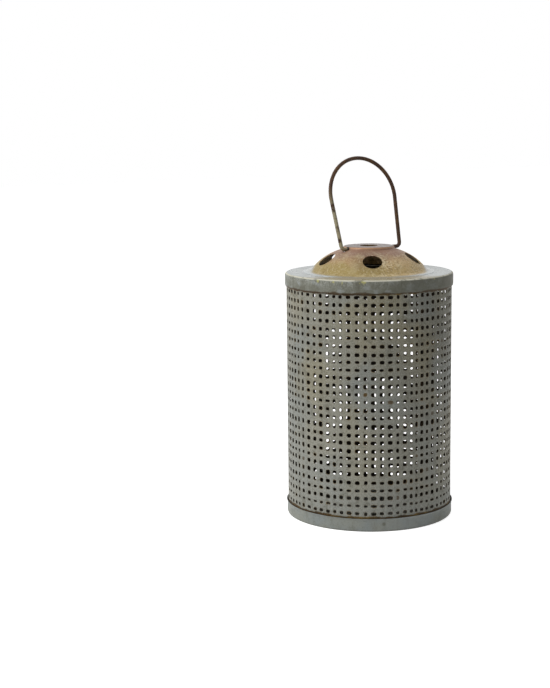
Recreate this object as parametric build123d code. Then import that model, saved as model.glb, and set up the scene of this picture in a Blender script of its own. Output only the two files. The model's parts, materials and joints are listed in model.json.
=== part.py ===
from build123d import *
from math import asin, atan2, cos, degrees, hypot, pi, radians, sin, sqrt, tan
import os

# Punched tin lantern: a pan, a punched sleeve, a lift-off lid with a vented dome and a wire bail.
# Millimetres, +Z up, origin at the centre of the face that it stands on. The bail turns about X.

# Sheet thicknesses
PAN_SHEET = 0.7
SLEEVE_SHEET = 0.7
LID_SHEET = 0.6
DOME_SHEET = 0.7
CUP_SHEET = 0.8

# Punched sleeve
SLEEVE_RADIUS = 74.4
SLEEVE_LENGTH = 218.6
COLUMN_PITCH = 6.98
ROW_PITCH = 7.05
HOLE_WIDTH = 3.6
HOLE_HEIGHT = 3.3
ROW_MARGIN = 4.2
SEAM_ANGLE = 92.0
LAP_WIDTH = 6.4

# Rivets along the lap seam
SEAM_RIVETS = 5
SEAM_RIVET_RADIUS = 1.2
SEAM_HEAD_RADIUS = 2.2
SEAM_HEAD_HEIGHT = 0.8
SEAM_RIVET_MARGIN = 12.0

# Base pan
PAN_DEPTH = 11.6
PAN_CORNER = 1.5
PAN_LIP_HEIGHT = 2.4
PAN_LIP_FLARE = 0.7

# Candle cup on the pan's floor and its rivet
CUP_BORE = 11.3
CUP_DEPTH = 20.0
CUP_FOOT_RADIUS = 19.0
CUP_BEND = 1.5
CUP_RIVET_RADIUS = 1.6
CUP_HEAD_RADIUS = 3.2
CUP_HEAD_HEIGHT = 1.2

# Lid plate and its skirt
SKIRT_DROP = 11.7
SKIRT_BULGE = 0.25
SKIRT_CURL = 2.0
LID_EDGE_ROUND = 1.6
LID_OPENING_RADIUS = 50.0

# Dome, measured from the top of the lid plate
DOME_RIM_WIDTH = 2.0
DOME_SHOULDER_RADIUS = 23.4
DOME_SHOULDER_RISE = 20.7
DOME_ARC_RADIUS = 74.3
DOME_FLARE = 6.0
BOSS_TOP_RADIUS = 22.4
BOSS_RISE = 23.1
BOSS_EDGE_ROUND = 0.9
BOSS_FOOT_ROUND = 1.2
CHIMNEY_HOLE_RADIUS = 8.2
VENTS = 5
VENT_RADIUS = 8.4
VENT_CIRCLE = 40.5
VENT_START = 23.0

# Bail
WIRE_RADIUS = 1.75
BAIL_AXIS_RISE = 20.7
BAIL_FOOT_HALF = 31.9
BAIL_ARCH_RADIUS = 35.0
BAIL_RISE = 82.6
BAIL_BEND = 3.2
BAIL_FOOT_INSIDE = 3.0
BAIL_LEAN = 15.0

# Making: how far a punch passes the sheet, and how round a rivet's head is for its height
PUNCH_REACH = 3.0
HEAD_ROUNDNESS = 0.6

# Clearances
SOLDER_GAP = 0.1
SKIRT_GAP = 0.35
SEAT_GAP = 0.3
RIVET_GAP = 0.05
BAIL_GAP = 0.1

# Sleeve and pan: the sleeve stands on the pan's rounded corner
SLEEVE_BOTTOM = PAN_CORNER
SLEEVE_TOP = SLEEVE_BOTTOM + SLEEVE_LENGTH
SLEEVE_BORE = SLEEVE_RADIUS - SLEEVE_SHEET
LAP_BORE = SLEEVE_BORE - SLEEVE_SHEET
PAN_RADIUS = SLEEVE_RADIUS + SOLDER_GAP + PAN_SHEET

# Lid: the sleeve's top edge bears on the inside of the rounded edge
SKIRT_EDGE_RADIUS = SLEEVE_RADIUS + SKIRT_GAP + LID_SHEET
LID_RADIUS = SKIRT_EDGE_RADIUS + SKIRT_BULGE
SEAT_RADIUS = LID_EDGE_ROUND - LID_SHEET - SEAT_GAP
SEAT_OFFSET = max(0, SLEEVE_RADIUS - LID_RADIUS + LID_EDGE_ROUND)
PLATE_TOP = SLEEVE_TOP + LID_EDGE_ROUND - sqrt(SEAT_RADIUS**2 - SEAT_OFFSET**2)
SKIRT_BOTTOM = PLATE_TOP - SKIRT_DROP

# Dome and bail heights
DOME_BASE = PLATE_TOP + DOME_SHEET
BOSS_TOP = PLATE_TOP + BOSS_RISE
SHOULDER_TOP = PLATE_TOP + DOME_SHOULDER_RISE
BAIL_AXIS_HEIGHT = PLATE_TOP + BAIL_AXIS_RISE

# Hole pattern: as many rows as fit between the pan's lip and the skirt, columns all round but the seam
FIRST_ROW = PAN_DEPTH + ROW_MARGIN
LAST_ROW_LIMIT = SKIRT_BOTTOM - HOLE_HEIGHT / 2
ROWS = 1 + int((LAST_ROW_LIMIT - FIRST_ROW) / ROW_PITCH)
COLUMNS = round(2 * pi * SLEEVE_RADIUS / COLUMN_PITCH)
COLUMN_ANGLE = 360 / COLUMNS
SEAM_COLUMNS = 1 + int(LAP_WIDTH / (2 * pi * SLEEVE_BORE / COLUMNS))
SEAM_SPAN = SEAM_COLUMNS * COLUMN_ANGLE


def spun_sheet(outer_face, thickness):
    """A sheet spun round Z from its outer face's profile. The sheet lies to the left of that line."""
    section = offset(outer_face, thickness, side=Side.LEFT, kind=Kind.INTERSECTION)
    return revolve(Plane.XZ * make_face(section.edges()), Axis.Z)


def rounded(wire, corners):
    """Rounds chosen corners of a flat wire. Each corner is a point and its radius."""
    for point, radius in corners:
        wire = wire.fillet_2d(radius, [wire.vertices().sort_by_distance(point)[0]])
    return wire


def make_base_pan():
    lip_foot = PAN_DEPTH - PAN_LIP_HEIGHT
    corner = (PAN_RADIUS, 0)
    lip_edge = (PAN_RADIUS + PAN_LIP_FLARE, PAN_DEPTH)
    outer_face = rounded(
        Wire(Polyline((0, 0), corner, (PAN_RADIUS, lip_foot), lip_edge).edges()), [(corner, PAN_CORNER)]
    )
    pan = spun_sheet(outer_face, PAN_SHEET)
    return pan - Cylinder(CUP_RIVET_RADIUS + RIVET_GAP, 2 * PUNCH_REACH)


def sleeve_wedge(angle):
    """A plain wedge of the sleeve's wall, centred on the X axis."""
    section = Pos((SLEEVE_RADIUS + SLEEVE_BORE) / 2, SLEEVE_BOTTOM) * Rectangle(
        SLEEVE_SHEET, SLEEVE_LENGTH, align=(Align.CENTER, Align.MIN)
    )
    return revolve(Rot(Z=-angle / 2) * (Plane.XZ * section), Axis.Z, angle)


def punched_wedge():
    punch = Box(2 * PUNCH_REACH, HOLE_WIDTH, HOLE_HEIGHT)
    holes = [Pos(SLEEVE_RADIUS, 0, FIRST_ROW + ROW_PITCH * row) * punch for row in range(ROWS)]
    return sleeve_wedge(COLUMN_ANGLE) - holes


def seam_rivet_heights():
    lowest = PAN_DEPTH + SEAM_RIVET_MARGIN
    step = (SKIRT_BOTTOM - SEAM_RIVET_MARGIN - lowest) / (SEAM_RIVETS - 1)
    return [lowest + step * index for index in range(SEAM_RIVETS)]


def seam_wedge():
    """The plain wedge at the seam, with the sheet's other edge lapped inside it."""
    lap_section = Pos((SLEEVE_BORE + LAP_BORE) / 2, SLEEVE_BOTTOM) * Rectangle(
        SLEEVE_SHEET, SLEEVE_LENGTH, align=(Align.CENTER, Align.MIN)
    )
    lap_angle = degrees(LAP_WIDTH / SLEEVE_BORE)
    lap = revolve(Rot(Z=-lap_angle / 2) * (Plane.XZ * lap_section), Axis.Z, lap_angle)
    drill = Rot(Y=90) * Cylinder(SEAM_RIVET_RADIUS + RIVET_GAP, 2 * PUNCH_REACH)
    drills = [Pos(SLEEVE_BORE, 0, height) * drill for height in seam_rivet_heights()]
    return sleeve_wedge(SEAM_SPAN) + lap - drills


def open_faces(wedge, angle):
    """The faces of a wedge without the two flat sides where it meets its neighbours."""
    side = radians(angle / 2)
    middle = (SLEEVE_RADIUS + SLEEVE_BORE) / 2
    joins = [Vector(middle * cos(turn), middle * sin(turn), SLEEVE_TOP / 2) for turn in (-side, side)]
    away = [min(face.distance_to(point) for point in joins) for face in wedge.faces()]
    return [face for face, gap in zip(wedge.faces(), away) if gap > RIVET_GAP]


def make_body_shell():
    punched = open_faces(punched_wedge(), COLUMN_ANGLE)
    faces = [Rot(Z=SEAM_ANGLE) * face for face in open_faces(seam_wedge(), SEAM_SPAN)]
    first = SEAM_ANGLE + (SEAM_SPAN + COLUMN_ANGLE) / 2
    for column in range(COLUMNS - SEAM_COLUMNS):
        faces += [Rot(Z=first + COLUMN_ANGLE * column) * face for face in punched]
    return Solid(Shell(faces))


def make_seam_rivets():
    sag = SLEEVE_RADIUS - sqrt(SLEEVE_RADIUS**2 - SEAM_HEAD_RADIUS**2)
    outer_seat = SLEEVE_RADIUS
    inner_seat = LAP_BORE - sag - RIVET_GAP
    shank = Cylinder(SEAM_RIVET_RADIUS, outer_seat - inner_seat)
    head = Cylinder(SEAM_HEAD_RADIUS, SEAM_HEAD_HEIGHT, align=(Align.CENTER, Align.CENTER, Align.MIN))
    head = fillet(head.edges().group_by(Axis.Z)[-1], SEAM_HEAD_HEIGHT * HEAD_ROUNDNESS)
    middle = (outer_seat - inner_seat) / 2
    rivet = shank + Pos(0, 0, middle) * head + Pos(0, 0, -middle) * Rot(X=180) * head
    place = Rot(Z=SEAM_ANGLE) * Pos((outer_seat + inner_seat) / 2, 0, 0) * Rot(Y=90)
    return Compound([Pos(0, 0, z) * place * rivet.solid() for z in seam_rivet_heights()])


def make_candle_cup():
    floor = PAN_SHEET
    wall = CUP_BORE + CUP_SHEET
    rim = floor + CUP_DEPTH
    socket = rounded(
        Wire(Polyline((0, floor), (wall, floor), (wall, rim)).edges()), [((wall, floor), CUP_BEND)]
    )
    cup = spun_sheet(socket, CUP_SHEET)
    foot = Cylinder(CUP_FOOT_RADIUS, CUP_SHEET, align=(Align.CENTER, Align.CENTER, Align.MIN))
    cup += Pos(0, 0, floor) * foot
    return cup - Cylinder(CUP_RIVET_RADIUS + RIVET_GAP, 2 * PUNCH_REACH)


def make_cup_rivet():
    seat = PAN_SHEET + CUP_SHEET
    shank = Cylinder(CUP_RIVET_RADIUS, seat, align=(Align.CENTER, Align.CENTER, Align.MIN))
    head = Cylinder(CUP_HEAD_RADIUS, CUP_HEAD_HEIGHT, align=(Align.CENTER, Align.CENTER, Align.MIN))
    head = fillet(head.edges().group_by(Axis.Z)[-1], CUP_HEAD_HEIGHT * HEAD_ROUNDNESS)
    return shank + Pos(0, 0, seat) * head


def make_lid_plate():
    curl_top = SKIRT_BOTTOM + SKIRT_CURL
    outer_face = rounded(
        Wire(
            Polyline(
                (SKIRT_EDGE_RADIUS, SKIRT_BOTTOM),
                (LID_RADIUS, curl_top),
                (LID_RADIUS, PLATE_TOP),
                (LID_OPENING_RADIUS, PLATE_TOP),
            ).edges()
        ),
        [((LID_RADIUS, curl_top), SKIRT_CURL), ((LID_RADIUS, PLATE_TOP), LID_EDGE_ROUND)],
    )
    return spun_sheet(outer_face, LID_SHEET)


def dome_arc_centre():
    """The height of the dome's centre of curvature, which lies on the Z axis."""
    return SHOULDER_TOP - sqrt(DOME_ARC_RADIUS**2 - DOME_SHOULDER_RADIUS**2)


def dome_height(radius):
    return dome_arc_centre() + sqrt(DOME_ARC_RADIUS**2 - radius**2)


def make_dome():
    foot_radius = sqrt(DOME_ARC_RADIUS**2 - (DOME_BASE - dome_arc_centre()) ** 2)
    flare_reach = DOME_FLARE * tan(asin(foot_radius / DOME_ARC_RADIUS) / 2)
    rim = (foot_radius + flare_reach + DOME_RIM_WIDTH, DOME_BASE)
    foot = (foot_radius, DOME_BASE)
    middle_radius = (DOME_SHOULDER_RADIUS + foot_radius) / 2
    shoulder = (DOME_SHOULDER_RADIUS, SHOULDER_TOP)
    boss_edge = (BOSS_TOP_RADIUS, BOSS_TOP)
    outer_face = rounded(
        Wire(
            [
                Line(rim, foot),
                ThreePointArc(foot, (middle_radius, dome_height(middle_radius)), shoulder),
                Line(shoulder, boss_edge),
                Line(boss_edge, (CHIMNEY_HOLE_RADIUS, BOSS_TOP)),
            ]
        ),
        [(foot, DOME_FLARE), (shoulder, BOSS_FOOT_ROUND), (boss_edge, BOSS_EDGE_ROUND)],
    )
    dome = spun_sheet(outer_face, DOME_SHEET)
    tilt = degrees(asin(VENT_CIRCLE / DOME_ARC_RADIUS))
    punch = Cylinder(VENT_RADIUS, 2 * PUNCH_REACH)
    vent = Pos(VENT_CIRCLE, 0, dome_height(VENT_CIRCLE)) * Rot(Y=tilt) * punch
    dome -= [Rot(Z=VENT_START + 360 / VENTS * index) * vent for index in range(VENTS)]
    wire_hole = Rot(Y=90) * Cylinder(WIRE_RADIUS + BAIL_GAP, 2 * BAIL_FOOT_HALF)
    return dome - Pos(0, 0, BAIL_AXIS_HEIGHT) * wire_hole


def make_bail():
    """Round wire: two feet along the hinge axis, splayed legs and a round arch, leaning back at rest."""
    arch_centre = BAIL_RISE - BAIL_ARCH_RADIUS
    reach = hypot(BAIL_FOOT_HALF, arch_centre)
    splay = asin(BAIL_ARCH_RADIUS / reach) - atan2(BAIL_FOOT_HALF, arch_centre)
    tangent = (BAIL_ARCH_RADIUS * cos(splay), arch_centre - BAIL_ARCH_RADIUS * sin(splay))
    foot_end = DOME_SHOULDER_RADIUS - DOME_SHEET - BAIL_FOOT_INSIDE
    right_leg = [(foot_end, 0), (BAIL_FOOT_HALF, 0), tangent]
    left_leg = [(-x, y) for x, y in right_leg]
    centre_line = rounded(
        Wire(
            Polyline(*left_leg).edges()
            + ThreePointArc(left_leg[-1], (0, BAIL_RISE), right_leg[-1]).edges()
            + Polyline(*reversed(right_leg)).edges()
        ),
        [(left_leg[1], BAIL_BEND), (right_leg[1], BAIL_BEND)],
    )
    foot_plane = Plane(origin=left_leg[0] + (0,), z_dir=(-1, 0, 0))
    upright = sweep(foot_plane * Circle(WIRE_RADIUS), path=centre_line)
    return Pos(0, 0, BAIL_AXIS_HEIGHT) * Rot(X=90 - BAIL_LEAN) * upright


os.makedirs("parts", exist_ok=True)
pieces = {
    "base_pan": make_base_pan(),
    "body_shell": make_body_shell(),
    "seam_rivets": make_seam_rivets(),
    "candle_cup": make_candle_cup(),
    "cup_rivet": make_cup_rivet(),
    "lid_plate": make_lid_plate(),
    "dome": make_dome(),
    "bail": make_bail(),
}
for name, piece in pieces.items():
    export_step(piece, f"parts/{name}.step", write_pcurves=False)
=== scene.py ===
import bisect
import json
import math
import random

import bpy
from mathutils import Matrix, Vector


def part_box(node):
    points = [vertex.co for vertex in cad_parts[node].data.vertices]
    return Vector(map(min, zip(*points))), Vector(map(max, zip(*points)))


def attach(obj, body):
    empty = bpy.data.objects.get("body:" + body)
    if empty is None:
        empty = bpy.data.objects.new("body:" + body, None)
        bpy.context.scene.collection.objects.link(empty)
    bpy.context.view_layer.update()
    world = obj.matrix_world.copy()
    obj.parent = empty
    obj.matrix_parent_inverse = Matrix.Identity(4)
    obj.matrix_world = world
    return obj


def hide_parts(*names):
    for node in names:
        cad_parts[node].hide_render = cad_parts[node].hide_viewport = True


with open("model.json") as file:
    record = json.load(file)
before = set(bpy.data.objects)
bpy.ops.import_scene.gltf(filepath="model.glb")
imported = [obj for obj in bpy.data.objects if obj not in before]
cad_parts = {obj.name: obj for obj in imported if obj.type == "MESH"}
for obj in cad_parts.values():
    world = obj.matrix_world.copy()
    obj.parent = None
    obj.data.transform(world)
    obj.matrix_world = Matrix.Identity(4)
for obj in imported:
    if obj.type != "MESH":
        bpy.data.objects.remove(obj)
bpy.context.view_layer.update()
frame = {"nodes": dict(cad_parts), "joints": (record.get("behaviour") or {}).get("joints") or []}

bl_info = {
    "name": "Punched Tin Lantern",
    "version": (1, 0, 0),
    "blender": (4, 5, 0),
    "location": "View3D > Sidebar > Lantern",
    "description": "Builds the punched sleeve, pan, lid, dome and bail of a tin candle lantern",
    "category": "Add Mesh",
}

PAN_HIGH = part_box("base_pan")[1]
SLEEVE_LOW, SLEEVE_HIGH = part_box("body_shell")
LID_LOW, LID_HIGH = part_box("lid_plate")
DOME_LOW, DOME_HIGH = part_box("dome")
BAIL_PIVOT = next(joint for joint in frame["joints"] if joint["name"] == "bail_swing")["pos_m"]

MM = 0.001

# Segments round a turned piece and round a cut hole, and the angle past which an edge stays sharp
TURNED_SEGMENTS = 180
HOLE_SEGMENTS = 64
SHARP_ANGLE = math.radians(38)

# Seeds for where the columns and the rows stray, and for the holes' sizes, shapes and stains
COLUMN_SEED, ROW_SEED, HOLE_SEED = 42, 20, 7

# Chips on the lid's top edge: degrees from +X, and reach
LID_CHIPS = ((199, 2.0 * MM), (211, 1.4 * MM), (231, 2.4 * MM), (283, 1.2 * MM))

# The dent in the pan's wall
PAN_DENT = (-32.5 * MM, -67.8 * MM, 7.0 * MM)

# Level directions from the axis: towards the camera, and square to it towards the camera's right, away from
# the key lamp; painted reflections and painted shade are laid out along them
FRONT = (-0.581, -0.814, 0)
ASIDE = (0.814, -0.581, 0)


def tint(red, green, blue):
    """A colour written as it looks on screen, 0 to 255, as the shader's linear values."""
    levels = [level / 255 for level in (red, green, blue)]
    return tuple(v / 12.92 if v < 0.04045 else ((v + 0.055) / 1.055) ** 2.4 for v in levels)


def number(name, description, default):
    return bpy.props.IntProperty(name=name, description=description, default=default)


def amount(name, description, default):
    return bpy.props.FloatProperty(name=name, description=description, default=default)


def length(name, description, default):
    return bpy.props.FloatProperty(
        name=name, description=description, default=default, unit="LENGTH", precision=5
    )


def angle(name, description, degrees):
    return bpy.props.FloatProperty(
        name=name, description=description, default=math.radians(degrees), subtype="ANGLE"
    )


def colour(name, description, red, green, blue):
    return bpy.props.FloatVectorProperty(
        name=name, description=description, default=tint(red, green, blue), subtype="COLOR", min=0, max=1
    )


def place(name, description, default):
    return bpy.props.FloatVectorProperty(
        name=name, description=description, default=default, subtype="TRANSLATION", unit="LENGTH"
    )


class LanternSizes(bpy.types.PropertyGroup):
    sheet: length("Sheet", "Thickness of the sheet metal", 0.7 * MM)
    lid_sheet: length("Lid sheet", "Thickness of the lid's sheet", 0.6 * MM)
    columns: number("Columns", "Places round the sleeve, seam included", 67)
    rows: number("Rows", "Rows of punched holes", 28)
    row_pitch: length("Row pitch", "Height from one row of holes to the next", 7.05 * MM)
    first_row: length("First row", "Height of the lowest row of holes", 15.8 * MM)
    hole_width: length("Hole width", "Usual width of a punched hole", 3.6 * MM)
    hole_height: length("Hole height", "Usual height of a punched hole", 3.15 * MM)
    column_stray: amount("Column stray", "How much the columns stray, as a share of their pitch", 0.14)
    row_stray: amount("Row stray", "How much the rows stray, as a share of their pitch", 0.07)
    size_stray: amount("Size stray", "How much the holes' sizes differ from line to line", 0.12)
    crease: amount("Crease", "How square the corners of a hole stay", 0.28)
    dimple: length("Dimple", "How far the punch pushed the rim of a hole in", 0.25 * MM)
    lap: length("Lap", "Width of the sleeve's lap seam", 6.0 * MM)
    seam_angle: angle("Seam angle", "Where the lap seam stands, from +X", 92)
    pan_corner: length("Pan corner", "Rounding of the pan's lower edge", 1.5 * MM)
    pan_lip: length("Pan lip", "Height of the pan's flared lip", 2.4 * MM)
    pan_flare: length("Pan flare", "How far the pan's lip flares", 0.7 * MM)
    skirt_curl: length("Skirt curl", "Height of the skirt's curl at its lower edge", 2 * MM)
    skirt_bulge: length("Skirt bulge", "How far the skirt bulges over its lower edge", 0.25 * MM)
    lid_round: length("Lid rounding", "Rounding of the lid's top edge", 2.3 * MM)
    lid_opening: length("Lid opening", "Radius of the opening under the dome", 50 * MM)
    dome_arc: length("Dome arc", "Radius of the dome's round", 52.1 * MM)
    dome_middle: length("Dome middle", "How far the middle of that round lies from the axis", 11.1 * MM)
    dome_flare: length("Dome flare", "Rounding at the dome's foot", 6 * MM)
    shoulder: length("Shoulder", "Radius where the boss stands on the dome", 23.4 * MM)
    shoulder_drop: length("Shoulder drop", "Height of the boss", 2.8 * MM)
    boss: length("Boss", "Radius of the boss's flat top", 22.4 * MM)
    chimney: length("Chimney hole", "Radius of the hole in the boss", 8.2 * MM)
    vent: length("Vent", "Radius of a vent in the dome", 8.6 * MM)
    vent_circle: length("Vent circle", "Radius of the circle that the vents lie on", 40.5 * MM)
    vents: number("Vents", "Number of vents in the dome", 5)
    vent_start: angle("Vent start", "Where the first vent lies, from +X", 23)
    wire: length("Wire", "Radius of the bail's wire", 1.75 * MM)
    bail_foot: length("Bail foot", "Half the distance between the bail's legs at their feet", 31.9 * MM)
    bail_arch: length("Bail arch", "Radius of the bail's arch", 35.0 * MM)
    bail_rise: length("Bail rise", "Height of the arch over the bail's feet", 82.6 * MM)
    bail_bend: length("Bail bend", "Rounding where a leg turns into its foot", 4.2 * MM)
    bail_end: length("Bail end", "Where a foot ends inside the dome, from the middle", 19.7 * MM)
    bail_lean: angle("Bail lean", "How far the bail leans back at rest", 15.0)
    bail_slide: length("Bail slide", "How far the bail has slid along its feet", 2.6 * MM)
    bail_hole: length("Bail hole", "Radius of the holes that the bail's feet hook into", 2.3 * MM)


class LanternColours(bpy.types.PropertyGroup):
    tin: colour("Tin", "The sleeve's olive-grey patina", 146, 145, 133)
    tin_warm: colour("Warm tin", "Ochre-olive clouds in the patina", 150, 145, 124)
    tin_cool: colour("Cool tin", "Blue-grey clouds in the patina", 140, 145, 142)
    tin_dark: colour("Dark tin", "Dark mottling in the patina", 98, 96, 82)
    tin_pale: colour("Pale tin", "Worn pale grain in the patina", 176, 176, 166)
    ochre: colour("Ochre", "Stains round the holes and along the joins", 120, 98, 52)
    rust: colour("Rust", "Dark rust in the joins and inside", 64, 46, 18)
    soot: colour("Soot", "The sooty inside", 36, 30, 17)
    zinc: colour("Zinc", "The lid's and the pan's grey", 150, 152, 143)
    zinc_cool: colour("Cool zinc", "The pan's blue-grey", 146, 152, 150)
    zinc_dark: colour("Dark zinc", "Dark blotches and streaks", 108, 108, 95)
    zinc_pale: colour("Pale zinc", "Worn edges and the plate's top", 174, 180, 180)
    chip: colour("Chips", "Chips along the lid's edge", 186, 182, 112)
    copper: colour("Copper", "The dome near its boss", 147, 112, 91)
    boss: colour("Boss", "The boss's flat top", 134, 130, 130)
    gold: colour("Gold", "The dome's golden ochre", 170, 141, 98)
    gold_sheen: colour("Gilt", "The dome's brighter gold", 218, 188, 136)
    olive: colour("Olive", "The dome near its foot", 160, 140, 86)
    # Painted reflection of the dome on the plate's front and the dome's foot
    dome_reflection: colour("Wash", "The plate's olive-grey front", 148, 138, 113)
    umber: colour("Umber", "Dark specks on the dome and the bail", 92, 66, 36)
    speck: colour("Specks", "Light specks on the dome", 222, 208, 172)
    bronze: colour("Bronze", "The bail's dark brown", 58, 36, 20)
    # Painted highlight along the lid's top edge
    edge: colour("Edge", "The lid's worn top edge", 214, 211, 192)
    boss_highlight: colour("Ridge", "The copper line round the boss", 196, 150, 112)
    khaki: colour("Khaki", "The bail's worn olive", 152, 144, 117)


class LanternStage(bpy.types.PropertyGroup):
    camera_place: place("Camera place", "Where the camera stands", (-0.7689, -1.0759, 0.3641))
    heading: angle("Heading", "The camera's turn to the right of +Y", 31.855)
    pitch: angle("Pitch", "The camera's tilt down", 8.98)
    roll: angle("Roll", "The camera's lean", -0.654)
    lens: amount("Lens", "Focal length in millimetres", 77.02)
    key: amount("Key", "Power of the lamp on the left", 17.0)
    key_width: length("Key width", "Width of the lamp on the left", 1.0)
    key_place: place("Key place", "Where the lamp on the left hangs", (-1.29, 0.13, 1.2))
    top: amount("Top", "Power of the lamp overhead", 4.6)
    top_width: length("Top width", "Width of the lamp overhead", 1.2)
    top_place: place("Top place", "Where the lamp overhead hangs", (0.2, 0.2, 1.6))
    aim: place("Aim", "Where both lamps point", (0, 0, 0.14))
    room: amount("Room", "Strength of the light from all round", 0.22)


def sizes():
    return bpy.context.scene.lantern_sizes


def colours():
    return bpy.context.scene.lantern_colours


# Modelling

def begin():
    """Leaves edit mode and deselects everything, so that the next operator works on the new piece alone."""
    if bpy.context.mode != "OBJECT":
        bpy.ops.object.mode_set(mode="OBJECT")
    bpy.ops.object.select_all(action="DESELECT")


def arc(centre, radius, start, end, steps):
    """Points along an arc, with its angles in radians."""
    turns = [start + (end - start) * step / steps for step in range(steps + 1)]
    return [(centre[0] + radius * math.cos(turn), centre[1] + radius * math.sin(turn)) for turn in turns]


def soften(before, corner, after, radius, steps):
    """Points of the round that takes the place of a corner between two straight runs."""
    corner = Vector(corner)
    back = (Vector(before) - corner).normalized()
    on = (Vector(after) - corner).normalized()
    half = back.angle(on) / 2
    centre = corner + (back + on).normalized() * radius / math.sin(half)
    start = corner + back * radius / math.tan(half) - centre
    turn = math.pi - 2 * half
    if back.x * on.y - back.y * on.x > 0:
        turn = -turn
    first = math.atan2(start.y, start.x)
    return arc(centre, radius, first, first + turn, steps)


def run(start, end, steps):
    """Points along a straight run, without its two ends."""
    shares = [step / steps for step in range(1, steps)]
    return [(start[0] + (end[0] - start[0]) * s, start[1] + (end[1] - start[1]) * s) for s in shares]


def turn_sheet(name, profile, closed=False):
    """A turned sheet: a ring is drawn, then extruded and scaled along the profile's radii and heights."""
    begin()
    radius, height = profile[0]
    fill = "NGON" if closed else "NOTHING"
    bpy.ops.mesh.primitive_circle_add(
        vertices=TURNED_SEGMENTS, radius=radius, location=(0, 0, height), fill_type=fill
    )
    piece = bpy.context.object
    piece.name = name
    bpy.ops.object.transform_apply(location=True, rotation=True, scale=True)
    bpy.ops.object.mode_set(mode="EDIT")
    bpy.ops.mesh.select_mode(type="EDGE")
    bpy.ops.mesh.select_all(action="SELECT")
    if closed:
        bpy.ops.mesh.region_to_loop()
    for next_radius, next_height in profile[1:]:
        bpy.ops.mesh.extrude_edges_move(TRANSFORM_OT_translate={"value": (0, 0, next_height - height)})
        share = next_radius / radius
        bpy.ops.transform.resize(value=(share, share, 1), center_override=(0, 0, next_height))
        radius, height = next_radius, next_height
    bpy.ops.mesh.select_all(action="SELECT")
    bpy.ops.mesh.normals_make_consistent(inside=False)
    bpy.ops.object.mode_set(mode="OBJECT")
    return piece


def apply_modifier(piece, kind, **settings):
    modifier = piece.modifiers.new(kind.title(), kind)
    for key, value in settings.items():
        setattr(modifier, key, value)
    bpy.ops.object.modifier_apply(modifier=modifier.name)


def line_inside(piece, thickness):
    """Gives the sheet its thickness and marks the vertices of its inner face."""
    outer = len(piece.data.vertices)
    apply_modifier(piece, "SOLIDIFY", thickness=thickness, offset=-1)
    inside = piece.data.attributes.new("inside", "FLOAT", "POINT")
    for index, mark in enumerate(inside.data):
        mark.value = float(index >= outer)


def finish_piece(piece, material, body, node):
    """Smooths the piece, gives it its finish and ties it to the CAD."""
    begin()
    piece.select_set(True)
    bpy.context.view_layer.objects.active = piece
    bpy.ops.object.shade_smooth_by_angle(angle=SHARP_ANGLE)
    piece.data.materials.clear()
    piece.data.materials.append(material)
    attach(piece, body)
    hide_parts(node)


# Finishes

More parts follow.
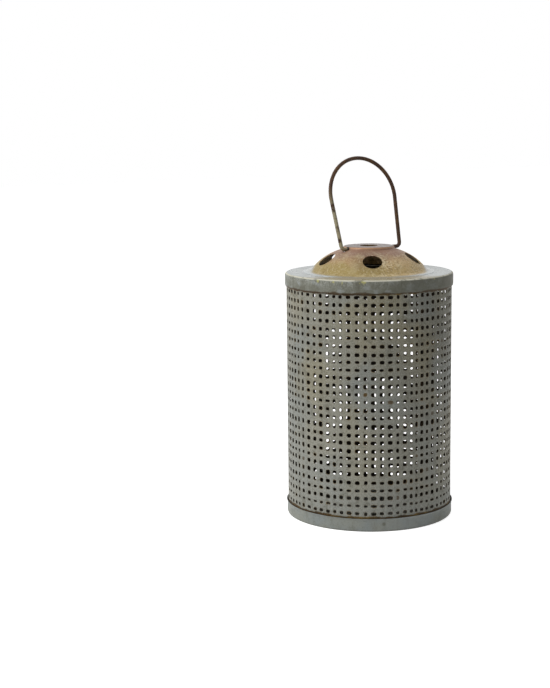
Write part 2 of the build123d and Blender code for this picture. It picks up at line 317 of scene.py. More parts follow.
class Finish:
    """A metal finish whose patterns follow the piece's own place, in metres."""

    def __init__(self, name, metallic):
        self.material = bpy.data.materials.new(name)
        self.material.use_nodes = True
        self.nodes = self.material.node_tree.nodes
        self.links = self.material.node_tree.links
        self.shader = self.nodes["Principled BSDF"]
        self.shader.inputs["Metallic"].default_value = metallic
        self.shader.inputs["Specular IOR Level"].default_value = 0.25
        self.place = self.nodes.new("ShaderNodeTexCoord").outputs["Object"]
        axes = self.put("ShaderNodeSeparateXYZ", {0: self.place})
        self.x, self.y, self.height = axes.outputs
        flat = self.put("ShaderNodeCombineXYZ", {0: self.x, 1: self.y})
        reach = self.put("ShaderNodeVectorMath", {0: flat.outputs[0]}, operation="LENGTH")
        self.radius = reach.outputs["Value"]

    def put(self, kind, values, **settings):
        """A new node with its settings, and its inputs linked or set."""
        node = self.nodes.new(kind)
        for key, value in settings.items():
            setattr(node, key, value)
        for key, value in values.items():
            if isinstance(value, bpy.types.NodeSocket):
                self.links.new(value, node.inputs[key])
            else:
                node.inputs[key].default_value = value
        return node

    def reckon(self, operation, a, b):
        return self.put("ShaderNodeMath", {0: a, 1: b}, operation=operation).outputs[0]

    def sum(self, a, b):
        return self.reckon("ADD", a, b)

    def less(self, a, b):
        return self.reckon("SUBTRACT", a, b)

    def times(self, a, b):
        return self.reckon("MULTIPLY", a, b)

    def most(self, a, b):
        return self.reckon("MAXIMUM", a, b)

    def rise(self, value, low, high, start=0.0, end=1.0):
        """A soft step from start to end as the value goes from low to high."""
        ends = {0: value, 1: low, 2: high, 3: start, 4: end}
        return self.put("ShaderNodeMapRange", ends, interpolation_type="SMOOTHSTEP").outputs[0]

    def noise(self, scale, detail=3.0, stretch=(1, 1, 1), shift=(0, 0, 0)):
        spot = self.put("ShaderNodeMapping", {"Vector": self.place, "Location": shift, "Scale": stretch})
        pattern = {"Vector": spot.outputs[0], "Scale": scale, "Detail": detail}
        return self.put("ShaderNodeTexNoise", pattern).outputs[0]

    def swing(self, width, *pattern, **more):
        """Noise that swings either side of nothing, over the given width."""
        return self.times(self.less(self.noise(*pattern, **more), 0.5), width)

    def rings(self, scale):
        """Noise that changes only with the distance from the lantern's axis."""
        spot = self.put("ShaderNodeCombineXYZ", {0: self.radius})
        pattern = {"Vector": spot.outputs[0], "Scale": scale, "Detail": 3.0}
        return self.put("ShaderNodeTexNoise", pattern).outputs[0]

    def distance(self, point):
        node = self.put("ShaderNodeVectorMath", {0: self.place, 1: point}, operation="DISTANCE")
        return node.outputs["Value"]

    def along(self, direction):
        """How far a place lies along a level direction from the axis."""
        node = self.put("ShaderNodeVectorMath", {0: self.place, 1: direction}, operation="DOT_PRODUCT")
        return node.outputs["Value"]

    def attribute(self, name):
        return self.put("ShaderNodeAttribute", {}, attribute_name=name).outputs["Fac"]

    def mix(self, share, a, b):
        """From a to b by the share. Each is a colour or a socket."""
        a, b = (value if isinstance(value, bpy.types.NodeSocket) else (*value, 1) for value in (a, b))
        return self.put("ShaderNodeMix", {0: share, 6: a, 7: b}, data_type="RGBA").outputs[2]

    def set(self, name, socket):
        self.links.new(socket, self.shader.inputs[name])

    def bump(self, height, distance, strength=1.0):
        node = self.put("ShaderNodeBump", {"Height": height, "Distance": distance, "Strength": strength})
        self.set("Normal", node.outputs[0])


def tin_finish():
    """The sleeve's patina: warm and cool clouds, fine grain, rust round some holes and soot inside."""
    paint = colours()
    finish = Finish("punched_tin", 0.0)
    # Clouds, painted shade high up on the side away from the key lamp and a paler lower half, then mottling
    # and grain
    clouds = finish.noise(16, 4, (1, 1, 0.6))
    surface = finish.mix(finish.rise(clouds, 0.42, 0.62), paint.tin, paint.tin_warm)
    low = finish.rise(finish.height, 55 * MM, 15 * MM, 0.0, 0.6)
    cool = finish.rise(finish.noise(20, 3, shift=(3, 1, 2)), 0.5, 0.66, 0.0, 0.7)
    surface = finish.mix(finish.most(cool, low), surface, paint.tin_cool)
    # Painted shade: darker high up on the side away from the key lamp
    side_shade = finish.rise(finish.along(ASIDE), 38 * MM, 66 * MM, 0.0, 0.45)
    side_shade = finish.times(side_shade, finish.rise(finish.height, 125 * MM, 165 * MM))
    surface = finish.mix(side_shade, surface, paint.tin_dark)
    # Paler towards the bottom
    paler_low = finish.rise(finish.height, 140 * MM, 70 * MM, 0.0, 0.3)
    surface = finish.mix(paler_low, surface, paint.tin_pale)
    mottle = finish.noise(170, 5)
    surface = finish.mix(finish.rise(mottle, 0.5, 0.72, 0.0, 0.5), surface, paint.tin_dark)
    grain = finish.noise(1000, 4)
    surface = finish.mix(finish.rise(grain, 0.5, 0.72, 0.0, 0.65), surface, paint.tin_dark)
    surface = finish.mix(finish.rise(grain, 0.48, 0.3, 0.0, 0.6), surface, paint.tin_pale)
    # Stains round the holes, and along the joins with the lid and the pan a painted shadow in the gap,
    # mixed with rust and ochre
    ragged = finish.sum(finish.attribute("rim"), finish.swing(0.6, 420, 3))
    stain = finish.times(finish.rise(ragged, 0.45, 0.95), finish.attribute("stain"))
    surface = finish.mix(stain, surface, paint.ochre)
    surface = finish.mix(finish.rise(ragged, 0.72, 1.0, 0.0, 0.75), surface, paint.rust)
    wander = finish.swing(4 * MM, 130, 4, (1, 1, 0.3))
    edge = finish.sum(finish.height, wander)
    gap_shadow_and_rust = finish.most(
        finish.rise(edge, LID_LOW.z - 1.8 * MM, LID_LOW.z - 0.7 * MM),
        finish.rise(edge, PAN_HIGH.z + 2.2 * MM, PAN_HIGH.z + 1.0 * MM),
    )
    patchy = finish.rise(finish.noise(60, 4, shift=(5, 1, 1)), 0.52, 0.66)
    # Rust and ochre stains, darkened with soot for the painted shadow in the gap
    shadow_and_rust = finish.mix(patchy, paint.rust, paint.ochre)
    shadow_and_rust = finish.mix(finish.rise(mottle, 0.45, 0.65, 0.0, 0.6), shadow_and_rust, paint.soot)
    shadow_and_rust = finish.mix(finish.rise(grain, 0.5, 0.7, 0.0, 0.5), shadow_and_rust, paint.ochre)
    surface = finish.mix(gap_shadow_and_rust, surface, shadow_and_rust)
    lining = finish.mix(finish.rise(finish.noise(90, 3), 0.5, 0.7), paint.soot, paint.rust)
    inside = finish.rise(finish.radius, SLEEVE_HIGH.x - 0.3 * MM, SLEEVE_HIGH.x - 0.55 * MM)
    finish.set("Base Color", finish.mix(inside, surface, lining))
    finish.set("Roughness", finish.rise(grain, 0.25, 0.75, 0.48, 0.66))
    finish.bump(finish.sum(grain, mottle), 0.14 * MM, 0.7)
    return finish.material


def reflected_front(finish):
    """How far the painted reflection of the dome covers a place on the lid: an uneven olive patch towards
    the camera.
    """
    uneven = finish.swing(36 * MM, 45, 4, shift=(1, 4, 2))
    return finish.rise(finish.sum(finish.along(FRONT), uneven), 34 * MM, 56 * MM, 0.0, 0.9)


def lid_finish():
    """The lid's grey: a smooth pale plate, a blotched skirt with chips, and rust along its lower edge."""
    paint = colours()
    finish = Finish("aged_zinc_lid", 0.0)
    top, low = LID_HIGH.z, LID_LOW.z
    # The skirt: blotches, streaks, grain, scuffs and stains, with painted shade and dirt low down and
    # painted shade on the side away from the key lamp
    blotch = finish.noise(120, 6, (1, 1, 0.7))
    skirt = finish.mix(finish.rise(blotch, 0.36, 0.62, 0.3, 1.0), paint.zinc_dark, paint.zinc)
    streaks = finish.noise(420, 4, (1, 1, 0.2))
    skirt = finish.mix(finish.rise(streaks, 0.5, 0.7, 0.0, 0.5), skirt, paint.tin_dark)
    grain = finish.noise(700, 5)
    skirt = finish.mix(finish.rise(grain, 0.5, 0.66, 0.0, 0.6), skirt, paint.tin_dark)
    skirt = finish.mix(finish.rise(grain, 0.46, 0.32, 0.0, 0.5), skirt, paint.tin_pale)
    # Darker low down: painted shade from the light above, with dirt
    lower = finish.rise(finish.height, top - 2 * MM, low + 3 * MM, 0.0, 0.6)
    skirt = finish.mix(lower, skirt, paint.zinc_dark)
    scuffs = finish.rise(finish.noise(85, 5, (1, 1, 1.4), (2, 6, 3)), 0.52, 0.64, 0.0, 0.4)
    skirt = finish.mix(scuffs, skirt, paint.zinc_pale)
    stains = finish.rise(finish.noise(70, 5, (1, 1, 0.8), (8, 1, 5)), 0.52, 0.66, 0.0, 0.6)
    skirt = finish.mix(stains, skirt, paint.tin_dark)
    # Painted shade, deepening towards the side away from the key lamp
    shaded = finish.rise(finish.along(ASIDE), -30 * MM, 74 * MM, 0.0, 0.6)
    skirt = finish.mix(shaded, skirt, paint.zinc_dark)
    deepest_shade = finish.rise(finish.along(ASIDE), 58 * MM, 74 * MM, 0.0, 0.6)
    skirt = finish.mix(deepest_shade, skirt, paint.tin_dark)
    wander = finish.swing(5 * MM, 90, 4, (1, 1, 0))
    rusty = finish.rise(finish.sum(finish.height, wander), low + 1.4 * MM, low + 0.2 * MM)
    skirt = finish.mix(finish.times(rusty, 0.85), skirt, paint.rust)
    # Chips along the top edge, from noise and at set places
    chips = finish.rise(finish.noise(190, 3, (1, 1, 0.6), (4, 2, 7)), 0.66, 0.72)
    chips = finish.times(chips, finish.rise(finish.height, top - 5 * MM, top - 1.5 * MM))
    ragged = finish.swing(5 * MM, 500, 3)
    for degrees, reach in LID_CHIPS:
        turn = math.radians(degrees)
        spot = (LID_HIGH.x * math.cos(turn), LID_HIGH.x * math.sin(turn), top - 1.2 * MM)
        away = finish.sum(finish.distance(spot), ragged)
        chips = finish.most(chips, finish.rise(away, reach, 0.5 * reach))
    skirt = finish.mix(finish.times(chips, 0.75), skirt, paint.chip)
    # The plate, with the painted reflection of the dome on its front and a painted highlight along its top
    # edge
    plate = finish.mix(finish.rise(finish.rings(700), 0.35, 0.65, 0.0, 0.3), paint.zinc_pale, paint.zinc)
    plate = finish.mix(finish.rise(finish.noise(120, 4), 0.5, 0.75, 0.0, 0.3), plate, paint.zinc)
    # Painted reflection of the dome on the plate's front
    plate = finish.mix(reflected_front(finish), plate, paint.dome_reflection)
    # Painted highlight along the rounded top edge
    edge_highlight = finish.rise(finish.height, top - 1.4 * MM, top - 0.6 * MM)
    edge_highlight = finish.times(edge_highlight, finish.rise(blotch, 0.3, 0.5))
    level = finish.rise(finish.height, top - 0.25 * MM, top - 0.05 * MM)
    surface = finish.mix(level, finish.mix(edge_highlight, skirt, paint.edge), plate)
    finish.set("Base Color", finish.mix(finish.attribute("inside"), surface, paint.soot))
    dull = finish.rise(blotch, 0.3, 0.7, 0.0, 0.08)
    finish.set("Roughness", finish.sum(finish.rise(level, 0, 1, 0.52, 0.26), dull))
    finish.set("Specular IOR Level", finish.rise(level, 0, 1, 0.25, 0.4))
    finish.bump(finish.sum(grain, finish.times(finish.rings(420), 0.6)), 0.1 * MM, 0.5)
    return finish.material


def pan_finish():
    """The pan's smooth blue-grey with a worn lip, a dent and rust where it holds the sleeve."""
    paint = colours()
    finish = Finish("aged_zinc", 0.0)
    clouds = finish.noise(55, 4)
    surface = finish.mix(finish.rise(clouds, 0.35, 0.7), paint.zinc, paint.zinc_cool)
    streaks = finish.noise(260, 5, (1, 1, 0.5))
    surface = finish.mix(finish.rise(streaks, 0.48, 0.7, 0.0, 0.35), surface, paint.zinc_dark)
    grain = finish.noise(900, 4)
    surface = finish.mix(finish.rise(grain, 0.5, 0.72, 0.0, 0.4), surface, paint.zinc_dark)
    worn = finish.rise(finish.along(ASIDE), -5 * MM, 30 * MM, 0.0, 0.3)
    worn = finish.times(worn, finish.rise(finish.along(ASIDE), 62 * MM, 46 * MM))
    surface = finish.mix(worn, surface, paint.zinc_pale)
    lip = finish.rise(finish.height, PAN_HIGH.z - 1.1 * MM, PAN_HIGH.z - 0.5 * MM)
    lip = finish.times(lip, finish.rise(clouds, 0.4, 0.65, 0.0, 0.45))
    surface = finish.mix(lip, surface, paint.zinc_pale)
    lining = finish.mix(finish.rise(finish.noise(110, 4), 0.45, 0.7), paint.soot, paint.rust)
    surface = finish.mix(finish.attribute("inside"), surface, lining)
    # The dent: a bump, with painted shade in its hollow
    dent = finish.rise(finish.distance(PAN_DENT), 2.6 * MM, 0.6 * MM)
    surface = finish.mix(finish.times(dent, 0.8), surface, paint.zinc_dark)
    # Painted shade along the lower edge, where the pan meets the floor
    foot = finish.rise(finish.height, 2.2 * MM, 0.2 * MM, 0.0, 0.6)
    surface = finish.mix(foot, surface, paint.zinc_dark)
    finish.set("Base Color", surface)
    finish.set("Roughness", finish.rise(grain, 0.3, 0.7, 0.46, 0.6))
    finish.bump(finish.sum(grain, finish.times(dent, -4)), 0.08 * MM, 0.45)
    return finish.material


def dome_finish():
    """The dome's bronzing: copper by the boss, golden ochre with specks, olive and grey at the foot."""
    paint = colours()
    size = sizes()
    finish = Finish("bronzed_dome", 0.1)
    # Copper, gold and olive, outwards from the boss
    wander = finish.swing(18 * MM, 70, 4)
    reach = finish.sum(finish.radius, wander)
    golden = finish.rise(reach, size.shoulder + 6 * MM, size.vent_circle + 2 * MM)
    surface = finish.mix(golden, paint.copper, paint.gold)
    surface = finish.mix(finish.rise(reach, 40 * MM, 48 * MM), surface, paint.olive)
    # The boss's flat top, a painted dark reflection down the camera's side and a painted copper highlight
    # round the boss
    flat = finish.rise(finish.height, DOME_HIGH.z - 0.4 * MM, DOME_HIGH.z - 0.1 * MM)
    flat = finish.times(flat, finish.rise(finish.along(FRONT), 19 * MM, 12 * MM, 0.2, 0.85))
    surface = finish.mix(flat, surface, paint.boss)
    dark_reflection = finish.rise(finish.along(FRONT), 12 * MM, 36 * MM)
    dark_reflection = finish.times(dark_reflection, finish.rise(finish.radius, 52 * MM, 44 * MM))
    across = finish.put("ShaderNodeMath", {0: finish.along(ASIDE)}, operation="ABSOLUTE").outputs[0]
    dark_reflection = finish.times(dark_reflection, finish.rise(across, 20 * MM, 6 * MM, 0.0, 0.45))
    surface = finish.mix(dark_reflection, surface, paint.umber)
    # Painted highlight, in copper, along the edge of the boss
    boss_highlight = finish.times(
        finish.rise(finish.height, DOME_HIGH.z - 1.5 * MM, DOME_HIGH.z - 0.9 * MM),
        finish.rise(finish.height, DOME_HIGH.z - 0.2 * MM, DOME_HIGH.z - 0.5 * MM),
    )
    surface = finish.mix(finish.times(boss_highlight, 0.8), surface, paint.boss_highlight)
    # A painted sheen of brighter gold on the camera's right, then blots, painted glints and specks in
    # patches, thicker on that side
    gold_sheen = finish.rise(finish.along(ASIDE), 2 * MM, 34 * MM, 0.0, 0.55)
    gold_sheen = finish.times(gold_sheen, finish.rise(finish.radius, 33 * MM, 43 * MM))
    surface = finish.mix(gold_sheen, surface, paint.gold_sheen)
    grain = finish.noise(620, 5)
    patches = finish.rise(finish.noise(42, 3, shift=(2, 2, 1)), 0.4, 0.6, 0.6, 1.0)
    patches = finish.times(patches, finish.rise(finish.along(ASIDE), -15 * MM, 20 * MM, 0.45, 0.9))
    patches = finish.times(patches, finish.rise(finish.radius, size.shoulder, 36 * MM, 0.25, 1.0))
    blots = finish.rise(finish.noise(150, 5, shift=(3, 2, 2)), 0.5, 0.66, 0.0, 0.35)
    surface = finish.mix(finish.times(blots, patches), surface, paint.umber)
    glints = finish.rise(finish.noise(120, 5, shift=(6, 2, 2)), 0.5, 0.66, 0.0, 0.5)
    surface = finish.mix(finish.times(glints, patches), surface, paint.speck)
    dark = finish.times(finish.rise(grain, 0.48, 0.64), patches)
    surface = finish.mix(finish.times(dark, 0.5), surface, paint.umber)
    spots = finish.times(finish.rise(finish.noise(640, 4, shift=(1, 3, 2)), 0.52, 0.62), patches)
    surface = finish.mix(finish.times(spots, 0.65), surface, paint.speck)
    # The grey foot, with the painted reflection of the dome on its front, where the bronzing also reaches
    # further out
    towards = finish.rise(finish.along(FRONT), -5 * MM, 30 * MM, 0.0, 7 * MM)
    spread = finish.less(finish.sum(finish.radius, finish.times(wander, 0.15)), towards)
    plain = finish.rise(spread, 46 * MM, 50.5 * MM)
    foot = finish.mix(finish.rise(finish.radius, 52 * MM, 57 * MM), paint.zinc, paint.zinc_pale)
    surface = finish.mix(plain, surface, finish.mix(reflected_front(finish), foot, paint.dome_reflection))
    lining = finish.mix(finish.rise(finish.noise(90, 3), 0.35, 0.65), paint.ochre, paint.gold)
    finish.set("Base Color", finish.mix(finish.attribute("inside"), surface, lining))
    dull = finish.times(finish.rise(grain, 0.25, 0.75, 0.12, 0.34), finish.less(1.0, plain))
    finish.set("Roughness", finish.sum(dull, 0.24))
    finish.set("Specular IOR Level", finish.rise(plain, 0, 1, 0.3, 0.6))
    finish.bump(finish.times(grain, finish.less(1.0, plain)), 0.14 * MM, 0.6)
    return finish.material


def wire_finish():
    """The bail's dark bronzing, worn to khaki on part of one leg."""
    paint = colours()
    finish = Finish("bail_wire", 0.15)
    patches = finish.noise(140, 4)
    leg = finish.rise(finish.x, -10 * MM, -22 * MM)
    leg = finish.times(leg, finish.rise(finish.height, 300 * MM, 270 * MM))
    worn = finish.times(leg, finish.rise(patches, 0.3, 0.5))
    surface = finish.mix(finish.rise(patches, 0.45, 0.75), paint.bronze, paint.umber)
    surface = finish.mix(worn, surface, paint.khaki)
    grain = finish.noise(900, 3)
    surface = finish.mix(finish.rise(grain, 0.55, 0.75, 0.0, 0.35), surface, paint.copper)
    foot = finish.rise(finish.distance(tuple(BAIL_PIVOT)), 25.2 * MM, 23.8 * MM)
    surface = finish.mix(foot, surface, paint.soot)
    finish.set("Base Color", surface)
    finish.set("Roughness", finish.rise(patches, 0.3, 0.7, 0.4, 0.56))
    finish.bump(grain, 0.08 * MM, 0.4)
    return finish.material


# Pieces

def stray(source, spread):
    """A chance step either way, at most twice the spread."""
    return max(-2 * spread, min(2 * spread, source.gauss(0, spread)))


def spaced(source, count, start, end, spread):
    """Lines from start to end, with each gap a little wider or narrower than the last."""
    gaps = [1 + stray(source, spread) for index in range(count)]
    return [start + (end - start) * sum(gaps[:index]) / sum(gaps) for index in range(count + 1)]


def loose(source, count, start, end, spread):
    """Lines from start to end, each a little off its even place."""
    places = [0] + [index + stray(source, spread) for index in range(1, count)] + [count]
    return [start + (end - start) * spot / count for spot in places]


class LANTERN_OT_sleeve(bpy.types.Operator):
    """Punches a flat sheet row by row and rolls it into the sleeve"""
    bl_idname = "lantern.sleeve"
    bl_label = "Punched sleeve"

    def execute(self, context):
        size = sizes()
        girth = 2 * math.pi * SLEEVE_HIGH.x
        pitch = girth / size.columns
        across = self.columns(size, girth, pitch)
        up = self.rows(size)
        sheet = self.lay_sheet(size, across, up)
        self.punch(sheet, size, pitch, across, up)
        self.roll(sheet, size)
        finish_piece(sheet, tin_finish(), "base", "body_shell")
        return {"FINISHED"}

    def columns(self, size, girth, pitch):
        """The upright lines of the grid: the outer lap, the columns, then the joggle and the inner lap."""
        start, end = -girth / 2 + pitch / 2, girth / 2 - pitch / 2
        across = spaced(random.Random(COLUMN_SEED), size.columns - 1, start, end, size.column_stray)
        return [-girth / 2 - size.lap / 2] + across + [girth / 2 - size.lap / 2, girth / 2 + size.lap / 2]

    def rows(self, size):
        """The level lines of the grid: the rows, with two plain bands under them and two over them."""
        low = size.first_row - size.row_pitch / 2
        high = low + size.rows * size.row_pitch
        up = loose(random.Random(ROW_SEED), size.rows, low, high, size.row_stray)
        return [SLEEVE_LOW.z, (SLEEVE_LOW.z + low) / 2] + up + [(SLEEVE_HIGH.z + up[-1]) / 2, SLEEVE_HIGH.z]

    def lay_sheet(self, size, across, up):
        """A flat sheet on the grid's lines, with its inner lap behind the rest and no face selected."""
        begin()
        bpy.ops.mesh.primitive_grid_add(
            x_subdivisions=len(across) - 1, y_subdivisions=len(up) - 1, size=2, rotation=(math.pi / 2, 0, 0)
        )
        sheet = bpy.context.object
        sheet.name = "punched_sleeve"
        bpy.ops.object.transform_apply(location=True, rotation=True, scale=True)
        for vertex in sheet.data.vertices:
            column = round((vertex.co.x + 1) / 2 * (len(across) - 1))
            row = round((vertex.co.z + 1) / 2 * (len(up) - 1))
            under = 1.1 * size.sheet if column >= len(across) - 2 else 0
            vertex.co = (across[column], under, up[row])
        bpy.ops.object.mode_set(mode="EDIT")
        bpy.ops.mesh.select_mode(type="FACE")
        bpy.ops.mesh.select_all(action="DESELECT")
        bpy.ops.object.mode_set(mode="OBJECT")
        return sheet

    def find(self, face, across, up):
        """The column and the row of the grid that a face lies in."""
        return bisect.bisect(across, face.center.x) - 1, bisect.bisect(up, face.center.z) - 1

    def punch(self, sheet, size, pitch, across, up):
        """Insets each punched place, sizes it by its column and row, and cuts it out."""
        width_stray, height_stray = 0.08, 0.09
        place_stray, corner_stray = 0.15 * MM, 0.12 * MM
        stain_heavy, stain_light, stain_least = 0.95, 0.5, 0.12
        heavy_below, light_below, clogged_below = 0.12, 0.3, 0.008
        chance = random.Random(HOLE_SEED)
        widths = [size.hole_width / pitch * (1 + stray(chance, size.size_stray)) for line in across]
        heights = [size.hole_height / size.row_pitch * (1 + stray(chance, size.size_stray)) for line in up]
        first_column, first_row = 1, 2
        last_column, last_row = first_column + size.columns - 2, first_row + size.rows - 1
        for face in sheet.data.polygons:
            column, row = self.find(face, across, up)
            face.select = first_column <= column <= last_column and first_row <= row <= last_row
        bpy.ops.object.mode_set(mode="EDIT")
        # Any inset that leaves a face will do, because each of its corners is placed again below
        bpy.ops.mesh.inset(thickness=1.6 * MM, use_individual=True)
        bpy.ops.transform.vert_crease(value=size.crease)
        bpy.ops.object.mode_set(mode="OBJECT")
        rim = sheet.data.attributes.new("rim", "FLOAT", "POINT")
        stain = sheet.data.attributes.new("stain", "FLOAT", "POINT")
        for face in sheet.data.polygons:
            if not face.select:
                continue
            middle = face.center
            column, row = self.find(face, across, up)
            room_across, room_up = across[column + 1] - across[column], up[row + 1] - up[row]
            wide = widths[column] * room_across * (1 + stray(chance, width_stray)) / 2
            high = heights[row] * room_up * (1 + stray(chance, height_stray)) / 2
            aside, above = stray(chance, place_stray), stray(chance, place_stray)
            centre = Vector((middle.x + aside, size.dimple, middle.z + above))
            drawn = chance.random()
            rust = stain_light if drawn < light_below else stain_least
            rust = stain_heavy if drawn < heavy_below else rust
            clogged = chance.random() < clogged_below
            for index in face.vertices:
                corner = sheet.data.vertices[index]
                side = math.copysign(wide, corner.co.x - middle.x) + stray(chance, corner_stray)
                end = math.copysign(high, corner.co.z - middle.z) + stray(chance, corner_stray)
                corner.co = centre + Vector((side, 0, end))
                rim.data[index].value = 1.0
                stain.data[index].value = rust
            face.select = not clogged
        bpy.ops.object.mode_set(mode="EDIT")
        bpy.ops.mesh.delete(type="FACE")
        bpy.ops.object.mode_set(mode="OBJECT")

    def roll(self, sheet, size):
        """Rounds the holes, thickens the sheet, rolls it up and turns it to its seam."""
        radius = SLEEVE_HIGH.x
        apply_modifier(sheet, "SUBSURF", levels=1, render_levels=1, boundary_smooth="PRESERVE_CORNERS")
        apply_modifier(sheet, "SOLIDIFY", thickness=size.sheet, offset=-1)
        reach = max(v.co.x for v in sheet.data.vertices) - min(v.co.x for v in sheet.data.vertices)
        apply_modifier(sheet, "SIMPLE_DEFORM", deform_method="BEND", deform_axis="Z", angle=reach / radius)
        sheet.location = (0, -radius, 0)
        bpy.ops.object.transform_apply(location=True, rotation=False, scale=False)
        sheet.rotation_euler = (0, 0, size.seam_angle - math.pi / 2)
        bpy.ops.object.transform_apply(location=False, rotation=True, scale=False)


class LANTERN_OT_pan(bpy.types.Operator):
    """Turns the base pan with its flared lip"""
    bl_idname = "lantern.pan"
    bl_label = "Base pan"

    def execute(self, context):
        size = sizes()
        wall = PAN_HIGH.x - size.pan_flare
        corner = size.pan_corner
        lip = PAN_HIGH.z - size.pan_lip
        hub = (3 * MM, 0)
        profile = [hub] + run(hub, (wall - corner, 0), 12)
        profile += arc((wall - corner, corner), corner, -math.pi / 2, 0, 6)
        profile += run((wall, corner), (wall, lip), 4) + [(wall, lip)]
        for share in (0.35, 0.7):
            profile += [(wall + size.pan_flare * share**1.5, lip + size.pan_lip * share)]
        profile += [(PAN_HIGH.x, PAN_HIGH.z - 0.2 * MM)]
        pan = turn_sheet("base_pan_looks", profile, closed=True)
        line_inside(pan, size.sheet)
        finish_piece(pan, pan_finish(), "base", "base_pan")
        return {"FINISHED"}


class LANTERN_OT_lid(bpy.types.Operator):
    """Turns the lid plate with its bulged skirt"""
    bl_idname = "lantern.lid"
    bl_label = "Lid plate"

    def execute(self, context):
        size = sizes()
        wall, edge, top = LID_HIGH.x, size.lid_round, LID_HIGH.z
        curl = LID_LOW.z + size.skirt_curl
        profile = [
            (wall - size.skirt_bulge, LID_LOW.z),
            (wall - 0.3 * size.skirt_bulge, LID_LOW.z + 0.5 * size.skirt_curl),
            (wall, curl),
        ]
        profile += run((wall, curl), (wall, top - edge), 5)
        profile += arc((wall - edge, top - edge), edge, 0, math.pi / 2, 7)
        profile += run((wall - edge, top), (size.lid_opening, top), 8) + [(size.lid_opening, top)]
        lid = turn_sheet("lid_plate_looks", profile)
        line_inside(lid, size.lid_sheet)
        finish_piece(lid, lid_finish(), "lid", "lid_plate")
        return {"FINISHED"}


class LANTERN_OT_dome(bpy.types.Operator):
    """Turns the dome and cuts its vents and the bail's holes"""
    bl_idname = "lantern.dome"
    bl_label = "Vented dome"

    def execute(self, context):
        size = sizes()
        top = DOME_HIGH.z
        base = DOME_LOW.z + size.sheet
        shoulder = (size.shoulder, top - size.shoulder_drop)
        heart = shoulder[1] - math.sqrt(size.dome_arc**2 - (size.shoulder - size.dome_middle) ** 2)
        flare_height = base + size.dome_flare
        span = size.dome_arc + size.dome_flare
        flare_reach = math.sqrt(span**2 - (flare_height - heart) ** 2)
        flare_radius = size.dome_middle + flare_reach
        tilt = math.atan2(flare_height - heart, flare_reach)
        crown = math.acos((size.shoulder - size.dome_middle) / size.dome_arc)
        edge = (size.boss, top)
        ball = arc((size.dome_middle, heart), size.dome_arc, tilt, crown, 22)
        profile = [(DOME_HIGH.x, DOME_LOW.z + 0.1 * MM), (DOME_HIGH.x - 0.8 * MM, base - 0.25 * MM)]
        profile += arc((flare_radius, flare_height), size.dome_flare, -math.pi / 2, tilt - math.pi, 6)
        profile += ball[1:-1]
        profile += soften(ball[-3], shoulder, edge, 1.8 * MM, 4)
        profile += soften(shoulder, edge, (size.chimney, top), 0.9 * MM, 4)
        profile += run((size.boss - 1 * MM, top), (size.chimney, top), 6) + [(size.chimney, top)]
        dome = turn_sheet("dome_looks", profile)
        line_inside(dome, size.sheet)
        out = size.vent_circle - size.dome_middle
        slope = math.asin(out / size.dome_arc)
        rise = heart + math.sqrt(size.dome_arc**2 - out**2)
        for index in range(size.vents):
            turn = size.vent_start + 2 * math.pi * index / size.vents
            spot = (size.vent_circle * math.cos(turn), size.vent_circle * math.sin(turn), rise)
            self.cut(dome, size.vent, 8 * MM, spot, (0, slope, turn))
        self.cut(dome, size.bail_hole, 2 * size.bail_foot, BAIL_PIVOT, (0, math.pi / 2, 0))
        finish_piece(dome, dome_finish(), "lid", "dome")
        return {"FINISHED"}

    def cut(self, dome, radius, depth, spot, turn):
        """Punches a round hole through the dome."""
        begin()
        bpy.ops.mesh.primitive_cylinder_add(
            vertices=HOLE_SEGMENTS, radius=radius, depth=depth, location=spot, rotation=turn
        )
        punch = bpy.context.object
        bpy.context.view_layer.objects.active = dome
        apply_modifier(dome, "BOOLEAN", object=punch, operation="DIFFERENCE", solver="EXACT")
        bpy.data.objects.remove(punch)


class LANTERN_OT_bail(bpy.types.Operator):
    """Bends the wire bail"""
    bl_idname = "lantern.bail"
    bl_label = "Wire bail"

    def execute(self, context):
        size = sizes()
        middle = size.bail_rise - size.bail_arch
        reach = math.hypot(size.bail_foot, middle)
        splay = math.asin(size.bail_arch / reach) - math.atan2(size.bail_foot, middle)
        leg_top = (size.bail_arch * math.cos(splay), middle - size.bail_arch * math.sin(splay))
        foot, end = (size.bail_foot, 0), (size.bail_end, 0)
        half = [end] + soften(end, foot, leg_top, size.bail_bend, 6) + run(foot, leg_top, 6)[1:]
        half += arc((0, middle), size.bail_arch, -splay, math.pi / 2, 20)
        line = [(-x, y) for x, y in half] + list(reversed(half))[1:]
        begin()
        bpy.ops.curve.primitive_bezier_curve_add()
        wire = context.object
        wire.name = "bail_looks"
        curve = wire.data
        curve.splines.clear()
        spline = curve.splines.new("POLY")
        spline.points.add(len(line) - 1)
        lean = Matrix.Rotation(math.pi / 2 - size.bail_lean, 4, "X")
        for point, (x, y) in zip(spline.points, line):
            point.co = (*(lean @ Vector((x + size.bail_slide, y, 0)) + Vector(BAIL_PIVOT)), 1)
        curve.dimensions = "3D"
        curve.bevel_depth = size.wire
        curve.bevel_resolution = 6
        curve.use_fill_caps = True
        bpy.ops.object.convert(target="MESH")
        finish_piece(wire, wire_finish(), "bail", "bail")
        return {"FINISHED"}


class LANTERN_OT_fittings(bpy.types.Operator):
    """Gives the rivets and the candle cup their finish"""
    bl_idname = "lantern.fittings"
    bl_label = "Rivets and candle cup"

    def execute(self, context):
        paint = pan_finish()
        for name in ("seam_rivets", "candle_cup", "cup_rivet"):
            node = frame["nodes"][name]
            node.data.materials.clear()
            node.data.materials.append(paint)
        return {"FINISHED"}


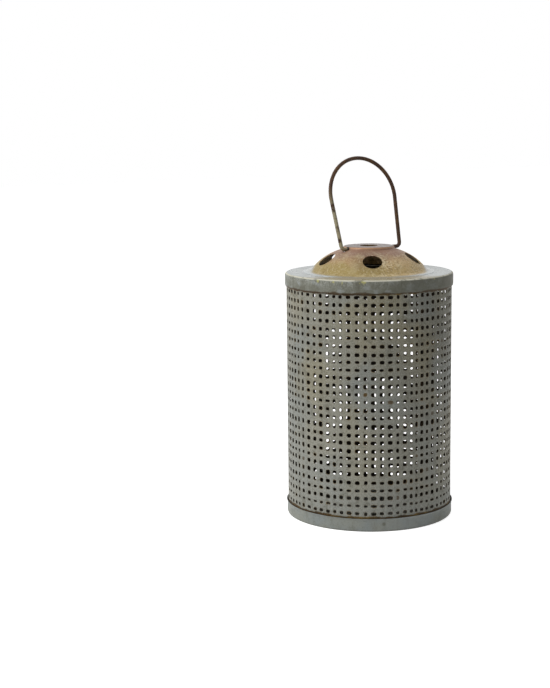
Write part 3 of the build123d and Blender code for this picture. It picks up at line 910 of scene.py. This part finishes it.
class LANTERN_OT_stage(bpy.types.Operator):
    """Sets up the white floor, the lamps and the camera"""
    bl_idname = "lantern.stage"
    bl_label = "Stage"

    def execute(self, context):
        stage = context.scene.lantern_stage
        begin()
        bpy.ops.mesh.primitive_plane_add(size=12)
        floor = context.object
        floor.name = "floor"
        floor.data.materials.append(self.floor_paint())
        self.light_room(stage.room)
        self.lamp("key_lamp", stage.key, stage.key_width, stage.key_place, stage.aim)
        self.lamp("top_lamp", stage.top, stage.top_width, stage.top_place, stage.aim)
        bpy.ops.object.camera_add(location=stage.camera_place)
        camera = context.object
        turn = Matrix.Rotation(-stage.heading, 3, "Z") @ Matrix.Rotation(math.pi / 2 - stage.pitch, 3, "X")
        camera.rotation_euler = (turn @ Matrix.Rotation(stage.roll, 3, "Z")).to_euler()
        camera.data.lens = stage.lens
        camera.data.sensor_fit = "AUTO"
        camera.data.sensor_width = 36
        camera.data.clip_start = 0.05
        context.scene.camera = camera
        context.scene.view_settings.view_transform = "Standard"
        return {"FINISHED"}

    def lamp(self, name, power, width, spot, aim):
        bpy.ops.object.light_add(type="AREA", location=spot)
        lamp = bpy.context.object
        lamp.name = name
        lamp.data.energy = power
        lamp.data.size = width
        lamp.rotation_euler = (Vector(aim) - Vector(spot)).to_track_quat("-Z", "Y").to_euler()

    def seen(self, nodes, links):
        """1 for rays that show the background, straight or in a reflection."""
        path = nodes.new("ShaderNodeLightPath")
        total = path.outputs["Is Camera Ray"]
        for name in ("Is Glossy Ray", "Is Transmission Ray"):
            either = nodes.new("ShaderNodeMath")
            either.operation = "MAXIMUM"
            links.new(total, either.inputs[0])
            links.new(path.outputs[name], either.inputs[1])
            total = either.outputs[0]
        return total

    def floor_paint(self):
        paint = bpy.data.materials.new("white_floor")
        paint.use_nodes = True
        nodes, links = paint.node_tree.nodes, paint.node_tree.links
        shader = nodes["Principled BSDF"]
        shader.inputs["Base Color"].default_value = (0.82, 0.82, 0.82, 1)
        shader.inputs["Roughness"].default_value = 0.9
        glow = nodes.new("ShaderNodeEmission")
        glow.inputs["Strength"].default_value = 0.8
        both = nodes.new("ShaderNodeAddShader")
        links.new(shader.outputs[0], both.inputs[0])
        links.new(glow.outputs[0], both.inputs[1])
        choose = nodes.new("ShaderNodeMixShader")
        links.new(self.seen(nodes, links), choose.inputs[0])
        links.new(shader.outputs[0], choose.inputs[1])
        links.new(both.outputs[0], choose.inputs[2])
        links.new(choose.outputs[0], nodes["Material Output"].inputs["Surface"])
        return paint

    def light_room(self, strength):
        world = bpy.data.worlds.new("white_room")
        bpy.context.scene.world = world
        world.use_nodes = True
        nodes, links = world.node_tree.nodes, world.node_tree.links
        room = nodes["Background"]
        room.inputs["Color"].default_value = (0.97, 0.98, 1, 1)
        room.inputs["Strength"].default_value = strength
        white = nodes.new("ShaderNodeBackground")
        white.inputs["Color"].default_value = (1, 1, 1, 1)
        white.inputs["Strength"].default_value = 1
        choose = nodes.new("ShaderNodeMixShader")
        links.new(self.seen(nodes, links), choose.inputs[0])
        links.new(room.outputs[0], choose.inputs[1])
        links.new(white.outputs[0], choose.inputs[2])
        links.new(choose.outputs[0], nodes["World Output"].inputs["Surface"])


class LANTERN_PT_panel(bpy.types.Panel):
    bl_idname = "LANTERN_PT_panel"
    bl_label = "Lantern"
    bl_space_type = "VIEW_3D"
    bl_region_type = "UI"
    bl_category = "Lantern"

    def draw(self, context):
        for step in STEPS:
            self.layout.operator(step.bl_idname)
        scene = context.scene
        for group in (scene.lantern_sizes, scene.lantern_colours, scene.lantern_stage):
            box = self.layout.box()
            for name in group.__annotations__:
                box.prop(group, name)


STEPS = (
    LANTERN_OT_stage,
    LANTERN_OT_sleeve,
    LANTERN_OT_pan,
    LANTERN_OT_lid,
    LANTERN_OT_dome,
    LANTERN_OT_bail,
    LANTERN_OT_fittings,
)
GROUPS = (LanternSizes, LanternColours, LanternStage)


def register():
    for made in (*GROUPS, *STEPS, LANTERN_PT_panel):
        bpy.utils.register_class(made)
    bpy.types.Scene.lantern_sizes = bpy.props.PointerProperty(type=LanternSizes)
    bpy.types.Scene.lantern_colours = bpy.props.PointerProperty(type=LanternColours)
    bpy.types.Scene.lantern_stage = bpy.props.PointerProperty(type=LanternStage)


def unregister():
    del bpy.types.Scene.lantern_stage
    del bpy.types.Scene.lantern_colours
    del bpy.types.Scene.lantern_sizes
    for made in reversed((*GROUPS, *STEPS, LANTERN_PT_panel)):
        bpy.utils.unregister_class(made)


def main():
    register()
    bpy.ops.lantern.stage()
    bpy.ops.lantern.sleeve()
    bpy.ops.lantern.pan()
    bpy.ops.lantern.lid()
    bpy.ops.lantern.dome()
    bpy.ops.lantern.bail()
    bpy.ops.lantern.fittings()


if __name__ == "__main__":
    main()
